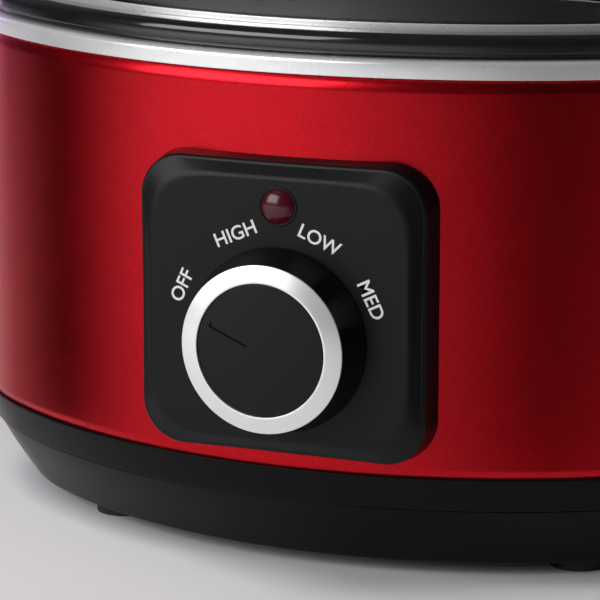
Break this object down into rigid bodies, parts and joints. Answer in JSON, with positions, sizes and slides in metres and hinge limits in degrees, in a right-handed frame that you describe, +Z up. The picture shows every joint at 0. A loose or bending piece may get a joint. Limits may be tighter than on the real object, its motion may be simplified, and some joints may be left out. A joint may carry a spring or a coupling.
{
  "type": "slow cooker",
  "caption": "Oval electric slow cooker: painted steel housing on a black base, rotary knob on a front panel, side handles, lift-out pot and domed glass lid.",
  "frame": {"origin": "middle of the oval housing, on the table plane under the feet", "axes": "+X to the right seen from the front, along the length of the oval; the control panel faces -Y; +Z up"},
  "size_m": [0.385, 0.2638, 0.2421],
  "materials": {
    "black_base": "satin moulded, fine grain",
    "nylon_black": "moulded nylon",
    "zinc_steel": "zinc plated",
    "foot_rubber": "matt rubber",
    "red_metallic": "metallic red lacquer",
    "polished_rim": "polished steel",
    "well_aluminium": "plain rolled",
    "mica_heater": "mica and foil band",
    "switch_resin": "phenolic",
    "cream_resin": "moulded resin",
    "brass_contact": "stamped brass",
    "lead_brown": "silicone sleeve",
    "lead_blue": "silicone sleeve",
    "lead_green": "silicone sleeve",
    "lead_white": "silicone sleeve",
    "black_panel": "satin moulded",
    "red_lens": "clear red",
    "bulb_glass": "clear",
    "black_knob": "satin moulded",
    "black_knob_cap": "satin moulded",
    "satin_chrome": "satin plated",
    "black_handle": "satin moulded",
    "black_glaze": "gloss glaze",
    "lid_glass": "tempered, clear",
    "seal_silicone": "silicone"
  },
  "bodies": {
    "base": {"base_tray": "black_base", "base_ring": "black_base", "bottom_cover": "black_base", "cover_screws": "zinc_steel", "front_left_foot": "foot_rubber", "front_right_foot": "foot_rubber", "rear_left_foot": "foot_rubber", "rear_right_foot": "foot_rubber", "outer_shell": "red_metallic", "rim_ring": "polished_rim", "heating_well": "well_aluminium", "band_heater": "mica_heater", "heater_strap": "zinc_steel", "strap_bolt": "zinc_steel", "reflector_plate": "well_aluminium", "cross_bar": "zinc_steel", "cross_bar_screws": "zinc_steel", "tie_bolt": "zinc_steel", "spring_washer": "zinc_steel", "thermal_cutout": "switch_resin", "cutout_clip": "zinc_steel", "heat_shield": "zinc_steel", "shield_screws": "zinc_steel", "terminal_block": "cream_resin", "terminal_screws": "brass_contact", "cord_gland": "foot_rubber", "cord_clamp": "nylon_black", "clamp_screws": "zinc_steel", "live_lead": "lead_brown", "neutral_lead": "lead_blue", "earth_lead": "lead_green", "heater_leads": "lead_white", "lamp_leads": "lead_white", "control_panel": "black_panel", "panel_screws": "zinc_steel", "panel_strap": "zinc_steel", "lamp_lens": "red_lens", "lamp_bulb": "bulb_glass", "lamp_collar": "nylon_black", "switch_body": "cream_resin", "switch_terminals": "brass_contact", "switch_nut": "zinc_steel", "left_handle": "black_handle", "right_handle": "black_handle", "handle_plates": "zinc_steel", "handle_screws": "zinc_steel"},
    "knob": {"switch_shaft": "zinc_steel", "knob_body": "black_knob", "knob_ring": "satin_chrome", "knob_cap": "black_knob_cap"},
    "pot": {"cooking_pot": "black_glaze"},
    "lid": {"lid_glass": "lid_glass", "lid_rim": "polished_rim", "lid_knob": "black_handle", "lid_knob_base": "polished_rim", "lid_seal": "seal_silicone", "lid_screw": "zinc_steel", "steam_grommet": "zinc_steel"}
  },
  "joints": [
    {"name": "knob_turn", "type": "hinge", "parent": "base", "child": "knob", "pos_m": [0, -0.125, 0.0845], "axis": [0, 1, 0], "range_deg": [0, 135]},
    {"name": "pot_lift", "type": "slide", "parent": "base", "child": "pot", "axis": [0, 0, 1], "range_m": [0, 0.16]},
    {"name": "lid_lift", "type": "slide", "parent": "pot", "child": "lid", "axis": [0, 0, 1], "range_m": [0, 0.12]}
  ]
}
